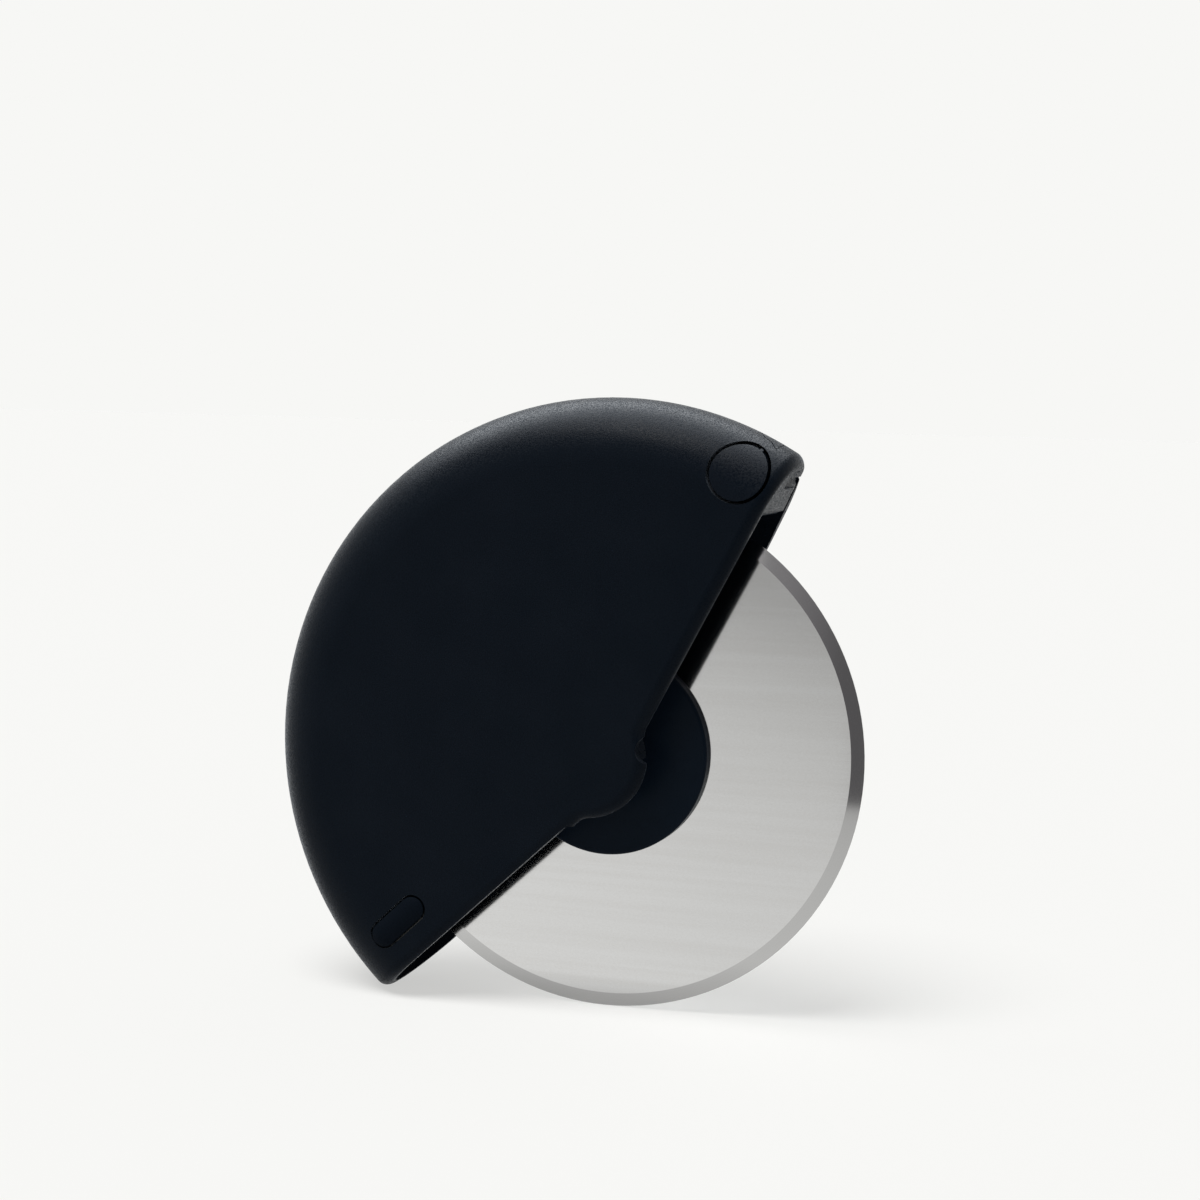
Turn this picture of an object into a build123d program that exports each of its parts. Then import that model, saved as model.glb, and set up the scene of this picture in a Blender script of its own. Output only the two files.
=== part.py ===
from build123d import *
import math
import os

os.makedirs("parts", exist_ok=True)

# All sizes are in millimetres. Forward means towards the viewer, along minus Y.

# Blade and its ground bevel
blade_radius = 50.0
blade_thickness = 0.8
blade_bevel = 2.5
blade_edge = 0.16

# Hub discs. The front one has pegs that pass through the blade and are staked behind
hub_radius = 20.0
hub_proud = 2.3
hub_round = 0.5
peg_radius = 1.5
peg_ring = 13.0
peg_fit = 0.05
stake_radius = 2.2
stake_seat = 1.3
stake_sink = 0.1
peg_count = 3

# Bearing sleeve, axle and thrust washers
axle_radius = 3.0
running_gap = 0.05
bush_wall = 1.5
bush_proud = 0.15
washer_radius = 7.0
washer_thickness = 0.5
washer_gap = 0.1
axle_head_radius = 5.0
axle_head = 1.8
axle_end_gap = 1.65
axle_round = 0.4
boss_radius = 6.6
fixed_gap = 0.02

# Housing: a round palm body cut open along two straight legs
shell_half = 12.8
shell_wall = 2.6
rim_run = 12.0
lip_round = 2.2
lower_lip_trim = 1.0
lower_lip_start = 12.5
shell_ahead = 0.35
shell_raise = 0.2
upper_leg_angle = 62.8
upper_leg_reach = 6.33
lower_leg_reach = 6.56
nose_radius = 12.1
nose_behind = 1.4
nose_raise = 0.5
nose_blend = 3.5
notch_radius = 3.0
notch_clear = 0.15
notch_angle = 10.9
seam_back = 5.0
seam_gap = 0.15

# Upper tip: the rear half leans back from the mouth, and a groove and a slot part it from the pivot boss
tip_lean = 3.0
tip_lean_start = 16.0
tip_groove_radius = 1.2
tip_groove_ahead = 1.8
tip_groove_behind = 0.2
tip_groove_level = 3.7
tip_slot_run = 6.0
tip_slot_depth = 3.0
tip_slot_width = 1.2

# Shallow line in the rim near the upper tip, as shares of its run and of the body's half thickness
mark_run = 3.7
mark_depth = 0.12
mark_width = 0.25
mark_ahead = 4.8
mark_shares = ((1.35, 0.0), (1.0, 0.16), (0.54, 0.22), (0.19, 0.33), (0.0, 0.36), (0.0, 0.04), (-0.5, 0.04))

# Swing pivot near the upper tip, just clear of the blade
pivot_boss_radius = 8.4
pivot_blade_gap = 2.51
pivot_rim = 6.89
pivot_behind_leg = 7.5
pivot_head_radius = 5.2
pivot_groove = 0.6
pivot_key = 0.3
pivot_key_width = 0.6
pivot_key_angle = 52.0
pivot_shank_radius = 3.3
pivot_bearing_top = 4.0
pivot_washer_space = 0.5
pivot_washer_thickness = 0.3
pivot_washer_lift = 0.1
pivot_flat = 0.6
pivot_screw_sink = 4.9
pivot_screw_web = 1.4
stop_radius = 0.9
stop_height = 1.2
stop_gap = 0.25
stop_angle = 150.0
swing_limit = 110.0

# Cradle in the nose that steadies the free end of the axle
cradle_radius = 9.0
cradle_gap = 0.35
cradle_lift = 0.5
cradle_sweep = 25.0

# Latch button and the snap arms that hold it
latch_past_blade = 1.54
latch_behind_leg = 7.58
latch_tilt = 0.5
button_length = 12.7
button_width = 4.8
button_gap = 0.4
button_proud = 0.6
button_stroke = 2.0
flange_margin = 1.1
flange_inset = 0.2
flange_thickness = 1.4
flange_gap = 0.1
stem_out = 4.2
stem_length = 3.4
stem_width = 1.8
stem_side = 1.2
arm_gap = 0.3
arm_thickness = 1.4
arm_width = 4.0
arm_hook = 1.0
stroke_spare = 0.15

# Spring leaf, its hook, the keeper that it blocks and its pillar
leaf_thickness = 0.3
leaf_width = 5.0
leaf_out = 4.6
leaf_level = 3.0
leaf_foot_rise = 4.3
leaf_tail = 1.6
leaf_arm = 9.5
leaf_ramp = 4.0
leaf_foot = 7.0
leaf_stem_gap = 0.2
hook_at = 4.7
hook_height = 1.9
keeper_gap = 0.3
keeper_thickness = 1.4
keeper_length = 4.0
keeper_overlap = 0.8
pillar_margin = 0.5
leaf_screw_radius = 1.1
leaf_screw_head_radius = 2.1
leaf_screw_head = 1.1
leaf_screw_length = 4.6

# Screws from the back
screw_radius = 1.5
screw_fit = 0.05
screw_head_radius = 2.9
screw_head = 1.7
screw_sink = 0.4
screw_head_gap = 0.25
screw_web = 1.7
screw_length = 7.0
screw_spare = 0.5
hex_radius = 1.2
hex_depth = 1.1

# Sizes that follow from the ones above
pivot_ring = blade_radius + pivot_blade_gap + pivot_boss_radius
shell_radius = pivot_ring + pivot_rim
wheel_x = (shell_radius - shell_ahead - blade_radius) / 2
wheel_z = blade_radius
middle_y = button_proud / 2
shell_inside = shell_half - shell_wall
rim_flat_radius = shell_radius - rim_run
bush_radius = axle_radius + running_gap + bush_wall
bush_half = hub_proud + bush_proud
washer_low = bush_half + washer_gap
washer_high = washer_low + washer_thickness
head_low = washer_high + washer_gap
stub_low = head_low + axle_head
stub_high = shell_inside - axle_end_gap
seam_front = -seam_back + seam_gap / 2
seam_rear = -seam_back - seam_gap / 2
pivot_head_low = pivot_bearing_top + pivot_washer_space
axle_seat = -shell_half + screw_sink + screw_head
axle_end = axle_seat + screw_web
pivot_seat = -shell_half + pivot_screw_sink
pivot_end = pivot_seat + pivot_screw_web
stop_ring = (pivot_shank_radius + pivot_boss_radius) / 2
flange_top = shell_inside - flange_gap
flange_low = flange_top - flange_thickness
flange_length = button_length + flange_margin * 2
flange_width = button_width - flange_inset * 2
arm_inner = flange_length / 2 + arm_gap
hook_top = -leaf_level + hook_height
foot_top = -shell_inside + leaf_foot_rise
foot_middle = leaf_arm + leaf_ramp + leaf_foot / 2


def level(x=0.0, z=0.0, forward=0.0, turn=0.0):
    """A plane parallel to the blade, centred on a point given from the wheel's centre."""
    c, s = math.cos(math.radians(turn)), math.sin(math.radians(turn))
    spot = (wheel_x + x, middle_y - forward, wheel_z + z)
    return Plane(origin=spot, x_dir=(c, 0, s), z_dir=(0, -1, 0))


def rod(radius, low, high, x=0.0, z=0.0):
    """A round bar parallel to the wheel's axis, between two levels."""
    with BuildPart() as bar:
        with BuildSketch(level(x, z, low)):
            Circle(radius)
        extrude(amount=high - low)
    return bar.part


def latch_block(across, along, length, width, low, high):
    """A square bar at the latch. Across runs with the button's length, along at right angles to it."""
    with BuildPart() as bar:
        with BuildSketch(level(latch_x, latch_z, low, latch_angle)):
            with Locations((across, along)):
                Rectangle(length, width)
        extrude(amount=high - low)
    return bar.part


def latch_pill(length, width, low, high):
    """A bar with round ends at the latch."""
    with BuildPart() as bar:
        with BuildSketch(level(latch_x, latch_z, low, latch_angle)):
            SlotOverall(length, width)
        extrude(amount=high - low)
    return bar.part


def latch_dome():
    """A lying bar with ball ends, whose top is the button's domed face: its edge is flush with the shell."""
    half_width, half_run = button_width / 2, (button_length - button_width) / 2
    radius = (half_width ** 2 + button_proud ** 2) / (button_proud * 2)
    middle = level(latch_x, latch_z, shell_half + button_proud - radius, latch_angle)
    ends = [middle.from_local_coords((run, 0, 0)) for run in (-half_run, half_run)]
    with BuildPart() as dome:
        with BuildSketch(Plane(origin=ends[0], x_dir=middle.y_dir, z_dir=middle.x_dir)):
            Circle(radius)
        extrude(amount=half_run * 2)
        for end in ends:
            with Locations(end):
                Sphere(radius)
    return dome.part


def turned_form(flat_radius, run, half):
    """A disc whose rim is rounded as half an ellipse."""
    spot = (wheel_x + shell_ahead, middle_y, wheel_z + shell_raise)
    with BuildPart() as form:
        with BuildSketch(Plane(origin=spot, x_dir=(1, 0, 0), z_dir=(0, 0, -1))):
            with BuildLine():
                Polyline((flat_radius, -half), (0, -half), (0, half), (flat_radius, half))
                EllipticalCenterArc((flat_radius, 0), run, half, start_angle=-90, arc_size=180)
            make_face()
        revolve(axis=Axis(spot, (0, 1, 0)))
    return form.part


def lower_leg_turn(reach):
    """Angle at which a lower leg of the given reach has its rounded corner just on the floor."""
    z = blade_radius - lip_round
    x = math.sqrt((shell_radius - lip_round) ** 2 - (z + shell_raise) ** 2) - shell_ahead
    lean = math.acos((reach - lip_round) / math.hypot(x, z))
    return math.degrees(lean - math.atan2(x, z))


def leg_line(angle, reach):
    """Direction of a mouth leg and its point nearest the axle."""
    a = math.radians(angle)
    return (math.cos(a), math.sin(a)), (reach * math.sin(a), -reach * math.cos(a))


def along_leg(angle, reach, run, behind):
    """The point a given way along a leg and a given way behind it."""
    a = math.radians(angle)
    off = behind - reach
    return run * math.cos(a) - off * math.sin(a), run * math.sin(a) + off * math.cos(a)


def leg_run(reach, ring, behind):
    """How far along a leg a point lies that is at a distance from the axle and a given way behind the leg."""
    return math.sqrt(ring ** 2 - (behind - reach) ** 2)


lower_leg_angle = lower_leg_turn(lower_leg_reach)
pivot_run = leg_run(upper_leg_reach, pivot_ring, pivot_behind_leg)
pivot_x, pivot_z = along_leg(upper_leg_angle, upper_leg_reach, pivot_run, pivot_behind_leg)
latch_run = -leg_run(lower_leg_reach, blade_radius + latch_past_blade, latch_behind_leg)
latch_x, latch_z = along_leg(lower_leg_angle, lower_leg_reach, latch_run, latch_behind_leg)
latch_angle = lower_leg_angle + latch_tilt


def mouth_sketch():
    """The outline of all that is cut away for the mouth, with the nose left standing."""
    far = shell_radius * 2
    up, up_at = leg_line(upper_leg_angle, upper_leg_reach)
    outer_reach = lower_leg_reach + lower_lip_trim
    low, low_at = leg_line(lower_leg_turn(outer_reach), outer_reach)
    det = up[0] * low[1] - up[1] * low[0]
    gap = (low_at[0] - up_at[0], low_at[1] - up_at[1])
    t = (gap[0] * low[1] - gap[1] * low[0]) / det
    knee = (up_at[0] + up[0] * t, up_at[1] + up[1] * t)
    top = (knee[0] + up[0] * far, knee[1] + up[1] * far)
    left = (knee[0] - low[0] * far, knee[1] - low[1] * far)
    with BuildSketch() as cut:
        Polygon(knee, left, (far, -far), top, align=None)
        with Locations((-nose_behind, nose_raise)):
            Circle(nose_radius, mode=Mode.SUBTRACT)
        near = cut.vertices().sort_by(lambda v: math.hypot(v.X, v.Y))[:2]
        fillet(near, nose_blend)
    return cut.sketch


def palm_body():
    """The whole palm body before hollowing, with its mouth's edge rounded and the lower leg then trimmed."""
    with BuildPart() as form:
        add(turned_form(rim_flat_radius, rim_run, shell_half))
        with BuildSketch(level(forward=-shell_half * 2)):
            add(mouth_sketch())
        extrude(amount=shell_half * 4, mode=Mode.SUBTRACT)
        rims = form.faces().filter_by(GeomType.PLANE, reverse=True).sort_by(SortBy.AREA)[-1]
        cut = [f for f in form.faces() if abs(f.normal_at().Y) < 0.5 and f != rims]
        seen, lips = [], []
        for edge in [e for f in cut for e in f.edges()]:
            across = edge.geom_type == GeomType.LINE and abs(edge.tangent_at(0.5).Y) > 0.5
            if not across and all((edge.center() - m).length > lip_round / 10 for m in seen):
                seen.append(edge.center())
                lips.append(edge)
        fillet(lips, lip_round)
        near, far = -lower_lip_start, -shell_radius * 2
        trim = [along_leg(lower_leg_angle, lower_leg_reach, run, behind) for run, behind in
                ((near, 0), (near - far, far), (far, far), (far, 0))]
        with BuildSketch(level(forward=-shell_half * 2)):
            Polygon(trim, align=None)
        extrude(amount=shell_half * 4, mode=Mode.SUBTRACT)
    return form.part


def rim_mark():
    """The shallow line in the rim, drawn on a plane that touches the rim."""
    tip = math.radians(upper_leg_angle) - math.asin(upper_leg_reach / shell_radius)
    turn = tip + mark_ahead / shell_radius
    out, along = (math.cos(turn), 0, math.sin(turn)), (-math.sin(turn), 0, math.cos(turn))
    x, z = shell_ahead + shell_radius * out[0], shell_raise + shell_radius * out[2]
    spot = (wheel_x + x, middle_y, wheel_z + z)
    with BuildPart() as mark:
        add(whole)
        with BuildSketch(Plane(origin=spot, x_dir=along, z_dir=out)) as line:
            with BuildLine():
                Polyline([(share * mark_run, level_share * shell_half) for share, level_share in mark_shares])
            trace(line_width=mark_width)
        extrude(amount=rim_run / 2, both=True, mode=Mode.INTERSECT)
        add(turned_form(rim_flat_radius, rim_run - mark_depth, shell_half - mark_depth), mode=Mode.SUBTRACT)
    return mark.part


def sunk_screw_way(seat, x, z):
    """Room for a screw from the back, with its head below the rear face."""
    head = rod(screw_head_radius + screw_head_gap, -shell_half * 2, seat, x, z)
    return head + rod(screw_radius + screw_fit, seat - screw_sink, seat + screw_web * 2, x, z)


def screw_hole(seat, end, x=0.0, z=0.0):
    """The threaded hole in a post that stands on the screw's web."""
    return rod(screw_radius + screw_fit, end - screw_web, seat + screw_length + screw_spare, x, z)


def flatted(bar, low, high):
    """A bar at the pivot with a flat on one side, so that it can't turn in its socket."""
    side = pivot_shank_radius - pivot_flat
    with BuildPart() as part:
        add(bar)
        with BuildSketch(level(pivot_x, pivot_z, low)):
            with Locations((side + pivot_boss_radius / 2, 0)):
                Rectangle(pivot_boss_radius, pivot_boss_radius * 2)
        extrude(amount=high - low, mode=Mode.SUBTRACT)
    return part.part


whole = palm_body()
hollow = turned_form(rim_flat_radius, rim_run - shell_wall, shell_inside)

# Blade
with BuildPart() as blade:
    with BuildSketch(Plane(origin=(wheel_x, middle_y, wheel_z), x_dir=(1, 0, 0), z_dir=(0, 0, -1))):
        inner = bush_radius + fixed_gap
        half, edge = blade_thickness / 2, blade_edge / 2
        Polygon((inner, -half), (blade_radius - blade_bevel, -half), (blade_radius, -edge),
                (blade_radius, edge), (blade_radius - blade_bevel, half), (inner, half), align=None)
    revolve(axis=Axis((wheel_x, middle_y, wheel_z), (0, 1, 0)))
    with BuildSketch(level(forward=-blade_thickness)):
        with PolarLocations(peg_ring, peg_count):
            Circle(peg_radius + peg_fit)
    extrude(amount=blade_thickness * 2, mode=Mode.SUBTRACT)

# Front hub disc with its staked pegs
with BuildPart() as hub_front:
    with BuildSketch(level(forward=blade_thickness / 2)):
        Circle(hub_radius)
    extrude(amount=hub_proud - blade_thickness / 2)
    fillet(hub_front.faces().sort_by(Axis.Y)[0].edges(), hub_round)
    with BuildSketch(level(forward=-stake_seat)):
        with PolarLocations(peg_ring, peg_count):
            Circle(peg_radius)
    extrude(amount=stake_seat + hub_proud / 2)
    with BuildSketch(level(forward=-hub_proud + stake_sink)):
        with PolarLocations(peg_ring, peg_count):
            Circle(stake_radius)
    extrude(amount=hub_proud - stake_sink - stake_seat)
    with BuildSketch(level(forward=-hub_proud)):
        Circle(bush_radius + fixed_gap)
    extrude(amount=hub_proud * 3, mode=Mode.SUBTRACT)

# Rear hub disc with seats for the staked pegs
with BuildPart() as hub_rear:
    with BuildSketch(level(forward=-hub_proud)):
        Circle(hub_radius)
    extrude(amount=hub_proud - blade_thickness / 2)
    fillet(hub_rear.faces().sort_by(Axis.Y)[-1].edges(), hub_round)
    with BuildSketch(level(forward=-hub_proud * 2)):
        with PolarLocations(peg_ring, peg_count):
            Circle(stake_radius + peg_fit)
    extrude(amount=hub_proud * 2 - stake_seat, mode=Mode.SUBTRACT)
    with BuildSketch(level(forward=-hub_proud * 2)):
        Circle(bush_radius + fixed_gap)
        with PolarLocations(peg_ring, peg_count):
            Circle(peg_radius + peg_fit)
    extrude(amount=hub_proud * 3, mode=Mode.SUBTRACT)

# Bearing sleeve in the hub
with BuildPart() as hub_bush:
    with BuildSketch(level(forward=-bush_half)):
        Circle(bush_radius)
        Circle(axle_radius + running_gap, mode=Mode.SUBTRACT)
    extrude(amount=bush_half * 2)

# Axle pin: shank in the rear boss, head in front of the wheel, stub in the cradle
with BuildPart() as axle_pin:
    add(rod(axle_radius, axle_end, stub_high))
    add(rod(axle_head_radius, head_low, stub_low))
    ends = axle_pin.edges().filter_by(GeomType.CIRCLE).sort_by(Axis.Y)
    fillet([ends[0], ends[-1]], axle_round)
    add(screw_hole(axle_seat, axle_end), mode=Mode.SUBTRACT)

# Two thrust washers
with BuildPart() as axle_washers:
    for start in (-washer_high, washer_low):
        with BuildSketch(level(forward=start)):
            Circle(washer_radius)
            Circle(axle_radius + running_gap, mode=Mode.SUBTRACT)
        extrude(amount=washer_thickness)

# Rear shell: shallow half with the bosses for axle and pivot and the pillar for the leaf
lean_start, lean_off = pivot_run - tip_lean_start, shell_radius * math.tan(math.radians(tip_lean))
lean_corners = [along_leg(upper_leg_angle, upper_leg_reach, lean_start + run, behind) for run, behind in
                ((0, 0), (0, -shell_radius), (shell_radius, -shell_radius), (shell_radius, lean_off))]
groove_run = pivot_run + tip_groove_ahead
groove_x, groove_z = along_leg(upper_leg_angle, upper_leg_reach, groove_run, tip_groove_behind)
slot_corners = [along_leg(upper_leg_angle, upper_leg_reach, run, behind) for run in
                (groove_run, pivot_run - tip_slot_run) for behind in (tip_slot_depth, -shell_wall)]
slot_corners[2:] = reversed(slot_corners[2:])
with BuildPart() as rear_shell:
    add(whole)
    add(hollow, mode=Mode.SUBTRACT)
    add(whole & rod(pivot_boss_radius, -shell_half, seam_rear, pivot_x, pivot_z))
    with BuildSketch(level(forward=-shell_half * 2)):
        Rectangle(shell_radius * 4, shell_radius * 4)
    extrude(amount=shell_half * 2 + seam_rear, mode=Mode.INTERSECT)
    with BuildSketch(level(forward=-shell_half * 2)):
        Polygon(lean_corners, align=None)
    extrude(amount=shell_half * 4, mode=Mode.SUBTRACT)
    add(rod(tip_groove_radius, -shell_inside, 0, groove_x, groove_z), mode=Mode.SUBTRACT)
    with BuildSketch(level(forward=-shell_inside)):
        Polygon(slot_corners, align=None)
    extrude(amount=tip_slot_width, mode=Mode.SUBTRACT)
    foot_out = leaf_width + pillar_margin * 2
    pillar = latch_block(-leaf_out, foot_middle, foot_out, leaf_foot, -shell_half, foot_top - leaf_thickness)
    add(whole & pillar)
    add(rod(boss_radius, -shell_inside - shell_wall / 2, -washer_high - washer_gap / 2))
    add(rod(axle_radius + fixed_gap, axle_end, 0), mode=Mode.SUBTRACT)
    socket = rod(pivot_shank_radius + fixed_gap, pivot_end, 0, pivot_x, pivot_z)
    add(flatted(socket, pivot_end, 0), mode=Mode.SUBTRACT)
    add(sunk_screw_way(axle_seat, 0, 0), mode=Mode.SUBTRACT)
    add(sunk_screw_way(pivot_seat, pivot_x, pivot_z), mode=Mode.SUBTRACT)
    stop = math.radians(stop_angle)
    add(rod(stop_radius, seam_rear - stop_radius, seam_rear + stop_height,
            pivot_x + stop_ring * math.cos(stop), pivot_z + stop_ring * math.sin(stop)))
    with BuildSketch(level(latch_x, latch_z, 0, latch_angle)):
        with Locations((-leaf_out, foot_middle)):
            Circle(leaf_screw_radius + screw_fit)
    extrude(amount=foot_top - leaf_screw_length - stroke_spare, mode=Mode.SUBTRACT)

# Front shell: deep half with pivot bearing, cradle, the latch's keeper and arms and a notch in the nose
with BuildPart() as front_shell:
    add(whole)
    add(hollow, mode=Mode.SUBTRACT)
    add(whole & rod(pivot_boss_radius, seam_front, shell_half, pivot_x, pivot_z))
    keeper_near = hook_at - keeper_gap - keeper_thickness / 2
    add(latch_block(-leaf_out, keeper_near, keeper_length, keeper_thickness,
                    hook_top - keeper_overlap, shell_inside + shell_wall / 2))
    shelf_top = flange_low - button_stroke - stroke_spare
    arm_low = shelf_top - arm_thickness
    for side in (-1, 1):
        middle = side * (arm_inner + arm_thickness / 2)
        arm = latch_block(middle, 0, arm_thickness, arm_width, arm_low, shell_inside + shell_wall / 2)
        add(whole & arm)
        shelf = side * (arm_inner + (arm_thickness - arm_hook) / 2)
        add(latch_block(shelf, 0, arm_thickness + arm_hook, arm_width, arm_low, shelf_top))
    with BuildSketch(level(forward=seam_front)):
        Rectangle(shell_radius * 4, shell_radius * 4)
    extrude(amount=shell_half * 2, mode=Mode.INTERSECT)
    reach, start = math.hypot(pivot_x, pivot_z), math.degrees(math.atan2(-pivot_z, -pivot_x))
    way = CenterArc((pivot_x, pivot_z), reach, start, cradle_sweep)
    with BuildSketch(level(forward=stub_low + cradle_lift)):
        Circle(cradle_radius)
        SlotArc(way, (axle_radius + cradle_gap) * 2, mode=Mode.SUBTRACT)
    extrude(amount=shell_inside + shell_wall / 2 - stub_low - cradle_lift)
    swing = CenterArc((0, 0), stop_ring, stop_angle, swing_limit)
    with BuildSketch(level(pivot_x, pivot_z, seam_front - stop_radius)):
        SlotArc(swing, (stop_radius + stop_gap) * 2)
    extrude(amount=stop_radius + stop_height + stop_gap, mode=Mode.SUBTRACT)
    add(rod(pivot_shank_radius + running_gap, -shell_half, shell_half * 2, pivot_x, pivot_z),
        mode=Mode.SUBTRACT)
    add(rod(pivot_head_radius + pivot_groove, pivot_bearing_top, shell_half * 2, pivot_x, pivot_z),
        mode=Mode.SUBTRACT)
    add(latch_block(0, 0, arm_inner * 2, flange_width + arm_gap * 2, shelf_top, shell_inside),
        mode=Mode.SUBTRACT)
    add(latch_pill(button_length + button_gap * 2, button_width + button_gap * 2, shelf_top, shell_half * 2),
        mode=Mode.SUBTRACT)
    notch, notch_ring = math.radians(notch_angle), cradle_radius + notch_clear + notch_radius
    x, z = notch_ring * math.cos(notch), notch_ring * math.sin(notch)
    add(rod(notch_radius, stub_low, shell_half * 2, x, z), mode=Mode.SUBTRACT)
    add(rod(tip_groove_radius, -shell_half, tip_groove_level, groove_x, groove_z), mode=Mode.SUBTRACT)
    add(rim_mark(), mode=Mode.SUBTRACT)

# Pivot post: its round head follows the palm body's face and has one small key in its groove
with BuildPart() as pivot_post:
    add(rod(pivot_head_radius, pivot_head_low, shell_half * 2, pivot_x, pivot_z))
    with BuildSketch(level(pivot_x, pivot_z, pivot_head_low, pivot_key_angle)):
        with Locations((pivot_head_radius, 0)):
            Rectangle(pivot_key * 2, pivot_key_width)
    extrude(amount=shell_half * 2)
    add(whole, mode=Mode.INTERSECT)
    shank = rod(pivot_shank_radius, pivot_end, pivot_head_low + fixed_gap, pivot_x, pivot_z)
    add(flatted(shank, pivot_end, seam_rear))
    add(screw_hole(pivot_seat, pivot_end, pivot_x, pivot_z), mode=Mode.SUBTRACT)

# Spring washer under the pivot head
with BuildPart() as pivot_washer:
    with BuildSketch(level(pivot_x, pivot_z, pivot_bearing_top + pivot_washer_lift)):
        Circle(pivot_head_radius)
        Circle(pivot_shank_radius + screw_head_gap, mode=Mode.SUBTRACT)
    extrude(amount=pivot_washer_thickness)

# Latch button with its flange and stem
with BuildPart() as latch_button:
    pill = latch_pill(button_length, button_width, flange_low, shell_half + button_proud)
    add(pill & latch_dome())
    add(latch_block(0, 0, flange_length, flange_width, flange_low, flange_top))
    add(latch_block(-stem_out, stem_side, stem_length, stem_width, leaf_stem_gap - leaf_level, flange_low))

# Spring leaf with its hook and screw hole
with BuildPart() as catch_leaf:
    turn = math.radians(latch_angle)
    start = leaf_out + leaf_width / 2
    spot = (wheel_x + latch_x - math.cos(turn) * start, middle_y, wheel_z + latch_z - math.sin(turn) * start)
    side_on = Plane(origin=spot, x_dir=(-math.sin(turn), 0, math.cos(turn)),
                    z_dir=(math.cos(turn), 0, math.sin(turn)))
    with BuildSketch(side_on):
        bend, foot, end = leaf_arm, leaf_arm + leaf_ramp, leaf_arm + leaf_ramp + leaf_foot
        high, low, thin = -leaf_level, foot_top, leaf_thickness
        Polygon((-leaf_tail, high), (bend, high), (foot, low), (end, low), (end, low - thin),
                (foot - thin, low - thin), (bend - thin, high - thin), (-leaf_tail, high - thin), align=None)
        Polygon((hook_at, high - thin / 2), (hook_at, hook_top), (hook_at + thin, hook_top),
                (hook_at + thin, high - thin / 2), align=None)
    extrude(amount=leaf_width)
    with BuildSketch(level(latch_x, latch_z, 0, latch_angle)):
        with Locations((-leaf_out, foot_middle)):
            Circle(leaf_screw_radius + screw_fit)
    extrude(amount=foot_top - leaf_thickness * 2, mode=Mode.SUBTRACT)


def cap_screw(place, radius, head_radius, head, length):
    """A round-headed screw: its head stands on the given plane, its shank goes the other way."""
    with BuildPart() as screw:
        with BuildSketch(place):
            Circle(head_radius)
        extrude(amount=head)
        with BuildSketch(place):
            Circle(radius)
        extrude(amount=-length)
        with BuildSketch(place.offset(head)):
            RegularPolygon(hex_radius * head_radius / screw_head_radius, 6)
        extrude(amount=-hex_depth * head / screw_head, mode=Mode.SUBTRACT)
    return screw.part


# Screw that holds the leaf on its pillar
with BuildPart() as leaf_screw:
    foot_place = level(latch_x, latch_z, foot_top, latch_angle).shift_origin(
        level(latch_x, latch_z, foot_top, latch_angle).from_local_coords((-leaf_out, foot_middle, 0)))
    add(cap_screw(foot_place, leaf_screw_radius, leaf_screw_head_radius, leaf_screw_head, leaf_screw_length))

# Two equal screws from the back, for the axle and for the pivot
with BuildPart() as shell_screws:
    for x, z, seat in ((0, 0, axle_seat), (pivot_x, pivot_z, pivot_seat)):
        spot = (wheel_x + x, middle_y - seat, wheel_z + z)
        back = Plane(origin=spot, x_dir=(1, 0, 0), z_dir=(0, 1, 0))
        add(cap_screw(back, screw_radius, screw_head_radius, screw_head, screw_length))

pieces = {
    "blade": blade, "hub_front": hub_front, "hub_rear": hub_rear, "hub_bush": hub_bush,
    "axle_pin": axle_pin, "axle_washers": axle_washers, "rear_shell": rear_shell,
    "front_shell": front_shell, "pivot_post": pivot_post, "pivot_washer": pivot_washer,
    "latch_button": latch_button, "catch_leaf": catch_leaf, "leaf_screw": leaf_screw,
    "shell_screws": shell_screws,
}
for name, piece in pieces.items():
    piece.part.label = name
    export_step(piece.part, "parts/" + name + ".step")
    box = piece.part.bounding_box()
    print(name, "solids", len(piece.part.solids()), "volume", round(piece.part.volume, 1),
          "valid", piece.part.is_valid, "box", box.min, box.max)
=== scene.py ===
# %% [markdown]
# A palm pizza cutter, dressed for its picture.
# The solid parts already exist: a round blade on a two-part hub, a housing of two shells,
# a pivot near the tip and a small latch near the lower corner.
# This lesson gives each of them its real surface, then adds a camera, a floor and soft light.
# Everything is in metres, in the same frame as the solids: Z is up, the viewer is towards minus Y.

# %% Load the solid parts
import math

import bpy
from mathutils import Matrix, Vector


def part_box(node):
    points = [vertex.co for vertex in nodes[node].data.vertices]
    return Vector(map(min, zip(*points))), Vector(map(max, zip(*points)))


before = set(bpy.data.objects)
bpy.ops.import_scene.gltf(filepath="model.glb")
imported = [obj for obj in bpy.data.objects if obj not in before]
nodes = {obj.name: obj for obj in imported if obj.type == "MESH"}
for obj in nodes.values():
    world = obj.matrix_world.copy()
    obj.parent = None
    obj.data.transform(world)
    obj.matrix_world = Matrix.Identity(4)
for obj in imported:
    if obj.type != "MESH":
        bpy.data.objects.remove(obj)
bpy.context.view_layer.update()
print("parts:", ", ".join(sorted(nodes)))

# %% [markdown]
# The wheel's centre and its size are read from the blade itself, so that the camera and
# the ground edge of the blade follow the solid and are not typed twice.

# %% Measure the wheel
MM = 0.001
blade_low, blade_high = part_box("blade")
wheel_centre = (blade_low + blade_high) / 2
blade_radius = (blade_high.x - blade_low.x) / 2
print("wheel centre", [round(v / MM, 2) for v in wheel_centre], "radius", round(blade_radius / MM, 2))

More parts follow.
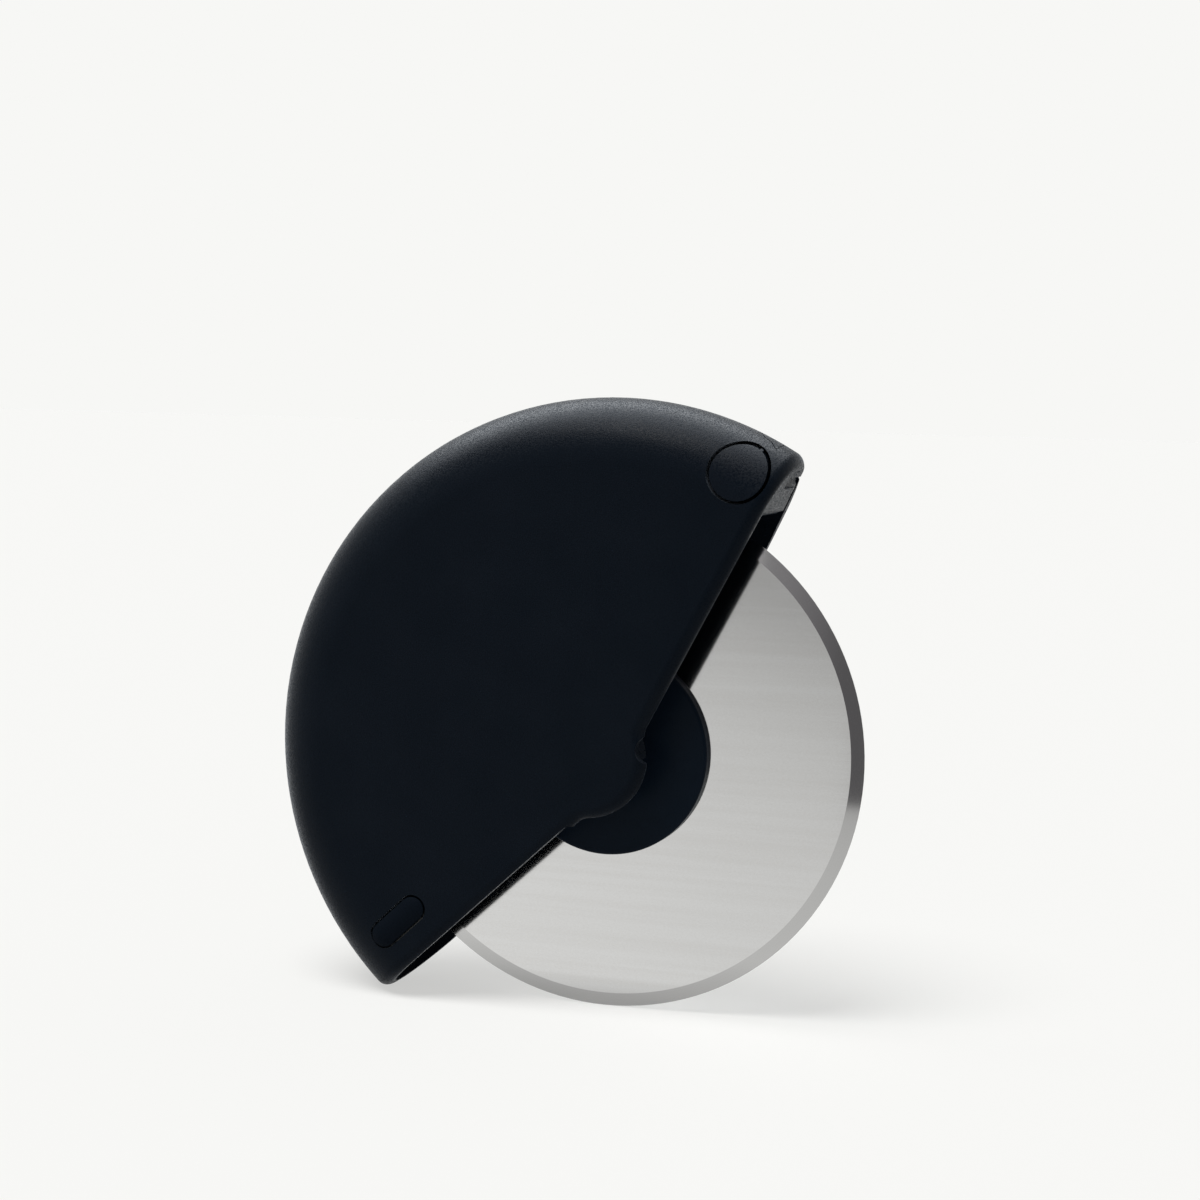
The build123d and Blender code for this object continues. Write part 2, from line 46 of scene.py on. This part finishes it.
# %% [markdown]
# The picture is taken from about 45 cm away, a little from the right and a little from above,
# with the camera leaning by one and a half degrees.
# A camera looks along its own minus Z. So its three axes are built by hand: the direction of view,
# the direction to the right, and their cross product, which points up.
# They are the columns of the camera's matrix, and its place follows from the distance.

# %% Camera
VIEW_FROM_RIGHT = 0.30959
VIEW_FROM_ABOVE = 0.08195
VIEW_LEAN = 0.02604
VIEW_DISTANCE = 450 * MM
VIEW_ASIDE = 1.845 * MM
VIEW_RAISE = -29.054 * MM
FOCAL_LENGTH = 69.845
SENSOR = 36.0

look = Vector((
    -math.sin(VIEW_FROM_RIGHT) * math.cos(VIEW_FROM_ABOVE),
    math.cos(VIEW_FROM_RIGHT) * math.cos(VIEW_FROM_ABOVE),
    -math.sin(VIEW_FROM_ABOVE),
))
level_right = Vector((math.cos(VIEW_FROM_RIGHT), math.sin(VIEW_FROM_RIGHT), 0))
level_up = level_right.cross(look)
right = math.cos(VIEW_LEAN) * level_right + math.sin(VIEW_LEAN) * level_up
up = -math.sin(VIEW_LEAN) * level_right + math.cos(VIEW_LEAN) * level_up
eye = wheel_centre - VIEW_ASIDE * right - VIEW_RAISE * up - VIEW_DISTANCE * look

bpy.ops.object.select_all(action="DESELECT")
bpy.ops.object.camera_add(location=eye)
camera = bpy.context.object
camera.name = "picture_camera"
camera.matrix_world = Matrix.Translation(eye) @ Matrix((right, up, -look)).transposed().to_4x4()
camera.data.sensor_width = SENSOR
camera.data.lens = FOCAL_LENGTH
camera.data.clip_start = 10 * MM
camera.data.clip_end = 100
bpy.context.scene.camera = camera
print("camera at", [round(v / MM, 1) for v in eye])

# %% [markdown]
# A material is a small graph of nodes. These helpers keep the graphs short to read: one starts a
# material, one adds a node with its settings, one stretches the object's own coordinates for a grain.
# The same helpers paint the floor and the cards around the object.

# %% Helpers for materials
def start_material(name, slot=None):
    """A new material with its main shader, and the record's slot that it stands for."""
    material = bpy.data.materials.new(name)
    material.use_nodes = True
    if slot:
        material["slot"] = slot
    return material, material.node_tree, material.node_tree.nodes["Principled BSDF"]


def matt(shader, colour):
    """A dull paint of one colour that mirrors nothing."""
    shader.inputs["Base Color"].default_value = (*colour, 1)
    shader.inputs["Roughness"].default_value = 1.0
    shader.inputs["Specular IOR Level"].default_value = 0.0


def add_node(tree, kind, values=None, links=None, **settings):
    """A node of one kind. Values and links go to its sockets, settings to its own properties."""
    node = tree.nodes.new("ShaderNode" + kind)
    for key, value in settings.items():
        setattr(node, key, value)
    for key, value in (values or {}).items():
        node.inputs[key].default_value = value
    for key, source in (links or {}).items():
        tree.links.new(source, node.inputs[key])
    return node


def stretched(tree, scale):
    """The piece's own coordinates, centred on the wheel and stretched, for a grain with a direction."""
    place = add_node(tree, "TexCoord").outputs["Object"]
    values = {"Scale": scale, "Location": [-c * s for c, s in zip(wheel_centre, scale)]}
    return add_node(tree, "Mapping", values, {"Vector": place}).outputs["Vector"]


def noise(tree, vector, size, detail=2.0, rough=0.5):
    """Soft random spots of about the given size."""
    values = {"Scale": 1 / size, "Detail": detail, "Roughness": rough}
    return add_node(tree, "TexNoise", values, {"Vector": vector}).outputs["Fac"]


def remap(tree, value, low, high, start=0.3, end=0.7):
    """Turns a pattern between start and end into a number between low and high."""
    values = {"From Min": start, "From Max": end, "To Min": low, "To Max": high}
    return add_node(tree, "MapRange", values, {"Value": value}).outputs["Result"]


def two_colours(tree, value, first, second):
    """Fades between two colours by a pattern."""
    values = {6: (*first, 1), 7: (*second, 1)}
    return add_node(tree, "Mix", values, {0: value}, data_type="RGBA").outputs[2]


def bump(tree, height, depth):
    """Pushes the surface's shading in and out by a pattern of the given depth."""
    return add_node(tree, "Bump", {"Strength": 1.0, "Distance": depth}, {"Height": height}).outputs["Normal"]


# %% [markdown]
# The ground is one pale sheet, and the room is the same pale colour all round, so that no horizon shows.
# The trick is in the numbers: an even sky lights an open matt floor with its own brightness times the
# floor's colour. Sky and lamp are added up first, and the floor's colour is then chosen so that
# the open floor comes out exactly as pale as the room behind it.
# The room looks pale to the camera and in mirror images, but it lights the scene with a weaker sky,
# so that most of the light comes from the lamp and throws a shadow.

# %% Room
ROOM_COLOUR = (0.9301, 0.9301, 0.9131)
SKY_LIGHT = 0.20
LAMP_STRENGTH = 2.9
LAMP_SPREAD = math.radians(36)
LAMP_TOWARDS = Vector((-0.16, -0.34, 0.93)).normalized()
FLOOR_LIFT = 1.015

world = bpy.data.worlds.new("pale_room")
bpy.context.scene.world = world
world.use_nodes = True
tree = world.node_tree
tree.nodes.clear()
ray = add_node(tree, "LightPath").outputs
seen = add_node(tree, "Math", None, {0: ray["Is Camera Ray"], 1: ray["Is Glossy Ray"]}, operation="MAXIMUM")
shown = add_node(tree, "Math", None, {0: seen.outputs[0], 1: ray["Is Transmission Ray"]}, operation="MAXIMUM")
lighting = add_node(tree, "Background", {"Color": (1, 1, 1, 1), "Strength": SKY_LIGHT})
picture = add_node(tree, "Background", {"Color": (*ROOM_COLOUR, 1), "Strength": 1.0})
either = add_node(tree, "MixShader", None, {0: shown.outputs[0], 1: lighting.outputs[0], 2: picture.outputs[0]})
add_node(tree, "OutputWorld", None, {"Surface": either.outputs[0]})

# %% [markdown]
# The picture's shadows are very light. So for the camera a share of the floor's paleness is its own glow,
# which no shadow can take away, and only the rest comes from the light that falls on it.
# In mirror images nearly all of it is glow. That glow is painted darker ahead of the object and to its right,
# by given shares per metre, as painted shade, and also close to the blade, as a painted shadow of the blade.
# These painted fades give the bright steel its soft, darker zones.

# %% Floor
FLOOR_SIZE = 30.0
FLOOR_GLOW = 0.60
MIRRORED_GLOW = 0.85
# Painted shade and painted shadow in the mirrored floor glow: darker ahead, to the right and close to the blade.
PAINTED_SHADE_AHEAD = 0.9
PAINTED_SHADE_RIGHT = 1.6
PAINTED_SHADE_START = 0.94
PAINTED_SHADE_LEAST = 0.35
PAINTED_SHADOW_LEAST = 0.62
PAINTED_SHADOW_FROM = 2 * MM
PAINTED_SHADOW_TO = 24 * MM

floor_light = (SKY_LIGHT + LAMP_STRENGTH * LAMP_TOWARDS.z / math.pi) / FLOOR_LIFT
floor_colour = [c / floor_light for c in ROOM_COLOUR]
print("floor colour", [round(c, 3) for c in floor_colour])

bpy.ops.object.select_all(action="DESELECT")
bpy.ops.mesh.primitive_plane_add(size=FLOOR_SIZE, location=(0, 0, 0))
floor = bpy.context.object
floor.name = "floor"
floor_paint, tree, shader = start_material("pale_floor")
matt(shader, floor_colour)
ray = add_node(tree, "LightPath").outputs
mirrored = add_node(tree, "Math", {1: MIRRORED_GLOW}, {0: ray["Is Glossy Ray"]}, operation="MULTIPLY")
share = add_node(
    tree, "Math", {1: FLOOR_GLOW}, {0: ray["Is Camera Ray"], 2: mirrored.outputs[0]}, operation="MULTIPLY_ADD",
)
place = add_node(tree, "TexCoord").outputs["Object"]
slope = add_node(tree, "VectorMath", {1: (-PAINTED_SHADE_RIGHT, PAINTED_SHADE_AHEAD, 0)}, {0: place}, operation="DOT_PRODUCT")
fade = add_node(
    tree, "MapRange",
    {"From Min": PAINTED_SHADE_LEAST - PAINTED_SHADE_START, "From Max": 1 - PAINTED_SHADE_START, "To Min": PAINTED_SHADE_LEAST},
    {"Value": slope.outputs["Value"]},
)
apart = add_node(tree, "SeparateXYZ", None, {0: place})
off = add_node(tree, "Math", None, {0: apart.outputs["Y"]}, operation="ABSOLUTE")
# Painted shadow of the blade: the mirrored glow is darker close to it.
painted_blade_shadow = add_node(
    tree, "MapRange", {"From Min": PAINTED_SHADOW_FROM, "From Max": PAINTED_SHADOW_TO, "To Min": PAINTED_SHADOW_LEAST}, {"Value": off.outputs[0]},
)
both = add_node(tree, "Math", None, {0: fade.outputs["Result"], 1: painted_blade_shadow.outputs["Result"]}, operation="MULTIPLY")
strength = add_node(tree, "Mix", {2: 1.0}, {0: ray["Is Glossy Ray"], 3: both.outputs[0]}, data_type="FLOAT")
glow = add_node(tree, "Emission", {"Color": (*ROOM_COLOUR, 1)}, {"Strength": strength.outputs[0]})
either = add_node(tree, "MixShader", None, {0: share.outputs[0], 1: shader.outputs[0], 2: glow.outputs[0]})
tree.links.new(either.outputs[0], tree.nodes["Material Output"].inputs["Surface"])
floor.data.materials.append(floor_paint)

# %% [markdown]
# One very wide lamp hangs above and makes the soft band of light along the housing's upper rim.
# The light comes from far away, so that it is equally strong all over the floor.

# %% Lamp
bpy.ops.object.select_all(action="DESELECT")
bpy.ops.object.light_add(type="SUN", location=(0, 0, 1))
lamp = bpy.context.object
lamp.name = "soft_lamp"
lamp.data.energy = LAMP_STRENGTH
lamp.data.angle = LAMP_SPREAD
lamp.rotation_euler = LAMP_TOWARDS.to_track_quat("Z", "Y").to_euler()

# %% [markdown]
# Bright metal only shows what stands around it. In the picture the right half of the ground edge is dark,
# because it mirrors a dark thing beside the camera. A dark card stands in for it, a little paler along
# its left border. A bright card above gives the band of light along the housing's upper rim.
# Both are seen in reflections only: they throw no shadow and the camera looks through them.

# %% Cards that only mirrors show
CARD_AHEAD = 205 * MM
CARD_LEFT = 18 * MM
CARD_SIZE = (900 * MM, 500 * MM)
CARD_GLOWS = (0.30, 0.14)
CARD_FADES = (32 * MM, 60 * MM)
CARD_TINT = (1, 0.97, 1, 1)
ABOVE_HEIGHT = 600 * MM
ABOVE_PLACE = (-225 * MM, 240 * MM)
ABOVE_SIZE = (850 * MM, 620 * MM)
ABOVE_GLOW = 10.0
ABOVE_TINT = (0.92, 0.96, 1, 1)


def add_card(name, place, turn, size, tint):
    """A glowing sheet that is seen in reflections only. Returns its node tree and main shader."""
    bpy.ops.object.select_all(action="DESELECT")
    bpy.ops.mesh.primitive_plane_add(size=1, location=place, rotation=(turn, 0, 0))
    card = bpy.context.object
    card.name = name
    card.scale = (*size, 1)
    card.visible_camera = False
    card.visible_diffuse = False
    card.visible_shadow = False
    paint, tree, shader = start_material(name + "_paint")
    matt(shader, (0, 0, 0))
    shader.inputs["Emission Color"].default_value = tint
    card.data.materials.append(paint)
    return tree, shader


card_place = (CARD_LEFT + CARD_SIZE[0] / 2, -CARD_AHEAD, CARD_SIZE[1] / 2)
tree, shader = add_card("dark_card", card_place, math.pi / 2, CARD_SIZE, CARD_TINT)
apart = add_node(tree, "SeparateXYZ", None, {0: add_node(tree, "NewGeometry").outputs["Position"]})
fade = add_node(
    tree, "MapRange",
    {"From Min": CARD_FADES[0], "From Max": CARD_FADES[1], "To Min": CARD_GLOWS[0], "To Max": CARD_GLOWS[1]},
    {"Value": apart.outputs["X"]},
)
tree.links.new(fade.outputs["Result"], shader.inputs["Emission Strength"])

tree, shader = add_card("bright_card", (*ABOVE_PLACE, ABOVE_HEIGHT), math.pi, ABOVE_SIZE, ABOVE_TINT)
shader.inputs["Emission Strength"].default_value = ABOVE_GLOW

# %% [markdown]
# The housing is moulded in black plastic with a fine spark-eroded grain: the tool's surface was burnt
# with sparks, and the plastic copies its tiny pits. The pits are about a third of a millimetre across.
# They break up the light along the rim. A second, far slower noise fades between two shades of black.
# The pivot's head and the button are smoother mouldings of the same plastic, and so is the hub.
# The head's colours are a little paler than the housing's, as painted light, and the button's a little darker, as
# painted shade.

# %% Plastics
CLOUD_PER_PIT = 40
BLOOM_SPREAD = 0.3
BLOOM_TINT = (0.75, 0.85, 1.0, 1)


def moulded_plastic(name, slot, dark, light, gloss, spread, pit, depth, level=0.045, bloom=0.0):
    """Plastic between two colours. Its roughness is gloss, give or take spread from pit to pit."""
    material, tree, shader = start_material(name, slot)
    own = stretched(tree, (1, 1, 1))
    pits = noise(tree, own, pit, 3.0, 0.6)
    clouds = noise(tree, own, pit * CLOUD_PER_PIT, 2.0)
    tree.links.new(two_colours(tree, remap(tree, clouds, 0, 1), dark, light), shader.inputs["Base Color"])
    tree.links.new(remap(tree, pits, gloss - spread, gloss + spread, 0.4, 0.6), shader.inputs["Roughness"])
    tree.links.new(bump(tree, pits, depth), shader.inputs["Normal"])
    shader.inputs["Specular IOR Level"].default_value = level
    shader.inputs["Sheen Weight"].default_value = bloom
    shader.inputs["Sheen Roughness"].default_value = BLOOM_SPREAD
    shader.inputs["Sheen Tint"].default_value = BLOOM_TINT
    return material


shell_plastic = moulded_plastic(
    "grained_housing_plastic", "shell_black", (0.0020, 0.0042, 0.0078), (0.0030, 0.0054, 0.0094),
    gloss=0.37, spread=0.18, pit=0.32 * MM, depth=0.055 * MM, bloom=0.14,
)
# Painted light: the pivot head's colours are a little paler than the housing's.
pivot_plastic_painted_paler = moulded_plastic(
    "grained_pivot_plastic", "shell_black", (0.0024, 0.0046, 0.0084), (0.0034, 0.0058, 0.0100),
    gloss=0.36, spread=0.14, pit=0.38 * MM, depth=0.045 * MM, level=0.055,
)
# Painted shade: the button's colours are a little darker than the housing's.
button_plastic_painted_darker = moulded_plastic(
    "grained_button_plastic", "shell_black", (0.0016, 0.0034, 0.0064), (0.0024, 0.0044, 0.0078),
    gloss=0.56, spread=0.06, pit=0.38 * MM, depth=0.02 * MM, level=0.03,
)
hub_plastic = moulded_plastic(
    "smooth_hub_plastic", "hub_black", (0.0024, 0.0058, 0.0112), (0.0036, 0.0074, 0.0138),
    gloss=0.34, spread=0.07, pit=0.25 * MM, depth=0.006 * MM, bloom=0.1,
)

# %% [markdown]
# The blade is punched from stainless sheet. The sheet was brushed on a belt before punching, so its
# hairlines all run one way. The edge was ground afterwards on a turning wheel, which leaves lines
# that follow the rim. One material does both: the distance from the axle picks the pattern.
# The sheet's colour is mixed from small specks and wide bands, because stainless steel is never even.

# %% Blade steel
BEVEL_WIDTH = 2.5 * MM
BORDER_BLUR = 0.05 * MM
HAIR_WIDTH = 0.12 * MM
RING_WIDTH = 0.08 * MM
SPECK_WIDTH = 0.22 * MM
BAND_WIDTH = 1.6 * MM
LINE_DEPTH = 0.00003 * MM
BLADE_GLOSS = (0.07, 0.11)
SHEET_COLOURS = ((0.685, 0.68, 0.675), (0.725, 0.725, 0.725))
EDGE_COLOURS = ((0.53, 0.525, 0.52), (0.58, 0.58, 0.58))


def brushed_blade():
    """Steel with straight hairlines on the sheet and rings on the ground edge."""
    material, tree, shader = start_material("brushed_blade_steel", "blade_steel")
    place = add_node(tree, "TexCoord").outputs["Object"]
    centred = add_node(tree, "VectorMath", {1: wheel_centre}, {0: place}, operation="SUBTRACT")
    flat = add_node(tree, "VectorMath", {1: (1, 0, 1)}, {0: centred.outputs[0]}, operation="MULTIPLY")
    reach = add_node(tree, "VectorMath", None, {0: flat.outputs[0]}, operation="LENGTH").outputs["Value"]
    border = blade_radius - BEVEL_WIDTH
    ground = remap(tree, reach, 0, 1, border - BORDER_BLUR, border)

    hairs = noise(tree, stretched(tree, (0.012, 1, 1)), HAIR_WIDTH, 3.0, 0.6)
    rings = noise(tree, add_node(tree, "CombineXYZ", None, {"X": reach}).outputs[0], RING_WIDTH, 3.0, 0.6)
    lines = add_node(tree, "Mix", None, {0: ground, 2: hairs, 3: rings}, data_type="FLOAT").outputs[0]
    tree.links.new(remap(tree, lines, *BLADE_GLOSS), shader.inputs["Roughness"])
    tree.links.new(bump(tree, lines, LINE_DEPTH), shader.inputs["Normal"])

    specks = noise(tree, stretched(tree, (0.5, 1, 1)), SPECK_WIDTH, 2.0)
    bands = noise(tree, stretched(tree, (0.02, 1, 1)), BAND_WIDTH, 2.0)
    half = add_node(tree, "Math", {1: 0.5}, {0: bands}, operation="MULTIPLY")
    mixed = add_node(tree, "Math", {1: 0.5}, {0: specks, 2: half.outputs[0]}, operation="MULTIPLY_ADD")
    sheet = two_colours(tree, remap(tree, mixed.outputs[0], 0, 1, 0.36, 0.64), *SHEET_COLOURS)
    edge = two_colours(tree, remap(tree, rings, 0, 1), *EDGE_COLOURS)
    colour = add_node(tree, "Mix", None, {0: ground, 6: sheet, 7: edge}, data_type="RGBA")
    tree.links.new(colour.outputs[2], shader.inputs["Base Color"])
    shader.inputs["Metallic"].default_value = 1.0
    return material


blade_steel = brushed_blade()

# %% [markdown]
# The small metal parts are turned, rolled or plated. They share one recipe with a grain along one
# direction: turned parts get rings, so their grain is squeezed along the axle.

# %% Small metal parts and the white bearing plastic
METAL_DARKER = 0.85
METAL_SPREAD = 0.06
METAL_DEPTH = 0.002 * MM


def small_metal(name, slot, colour, gloss, grain, scale):
    """Metal with a grain of the given width, stretched along the directions with a small scale."""
    material, tree, shader = start_material(name, slot)
    hairs = noise(tree, stretched(tree, scale), grain, 2.0)
    darker = tuple(c * METAL_DARKER for c in colour)
    tree.links.new(two_colours(tree, remap(tree, hairs, 0, 1), darker, colour), shader.inputs["Base Color"])
    tree.links.new(remap(tree, hairs, gloss - METAL_SPREAD, gloss + METAL_SPREAD), shader.inputs["Roughness"])
    tree.links.new(bump(tree, hairs, METAL_DEPTH), shader.inputs["Normal"])
    shader.inputs["Metallic"].default_value = 1.0
    return material


turned_steel = small_metal("turned_pin_steel", "pin_steel", (0.56, 0.56, 0.56), 0.25, 0.1 * MM, (0.05, 1, 0.05))
plated_steel = small_metal("plated_screw_steel", "screw_steel", (0.62, 0.62, 0.64), 0.18, 0.3 * MM, (1, 1, 1))
rolled_steel = small_metal("rolled_spring_steel", "spring_steel", (0.42, 0.42, 0.44), 0.30, 0.15 * MM, (0.05, 1, 1))
bearing_plastic = moulded_plastic(
    "white_bearing_plastic", "bearing_white", (0.70, 0.69, 0.64), (0.78, 0.77, 0.73),
    gloss=0.35, spread=0.05, pit=0.2 * MM, depth=0.003 * MM, level=0.5,
)

# %% Give every part its material
finishes = {
    "rear_shell": shell_plastic, "front_shell": shell_plastic, "pivot_post": pivot_plastic_painted_paler,
    "latch_button": button_plastic_painted_darker, "hub_front": hub_plastic, "hub_rear": hub_plastic,
    "blade": blade_steel, "axle_pin": turned_steel, "shell_screws": plated_steel,
    "leaf_screw": plated_steel, "catch_leaf": rolled_steel, "pivot_washer": rolled_steel,
    "hub_bush": bearing_plastic, "axle_washers": bearing_plastic,
}
for name, material in finishes.items():
    part = nodes[name]
    part.data.materials.clear()
    part.data.materials.append(material)
    print(name, "is", material.name)

# %% Colours are shown as they are
bpy.context.scene.view_settings.view_transform = "Standard"
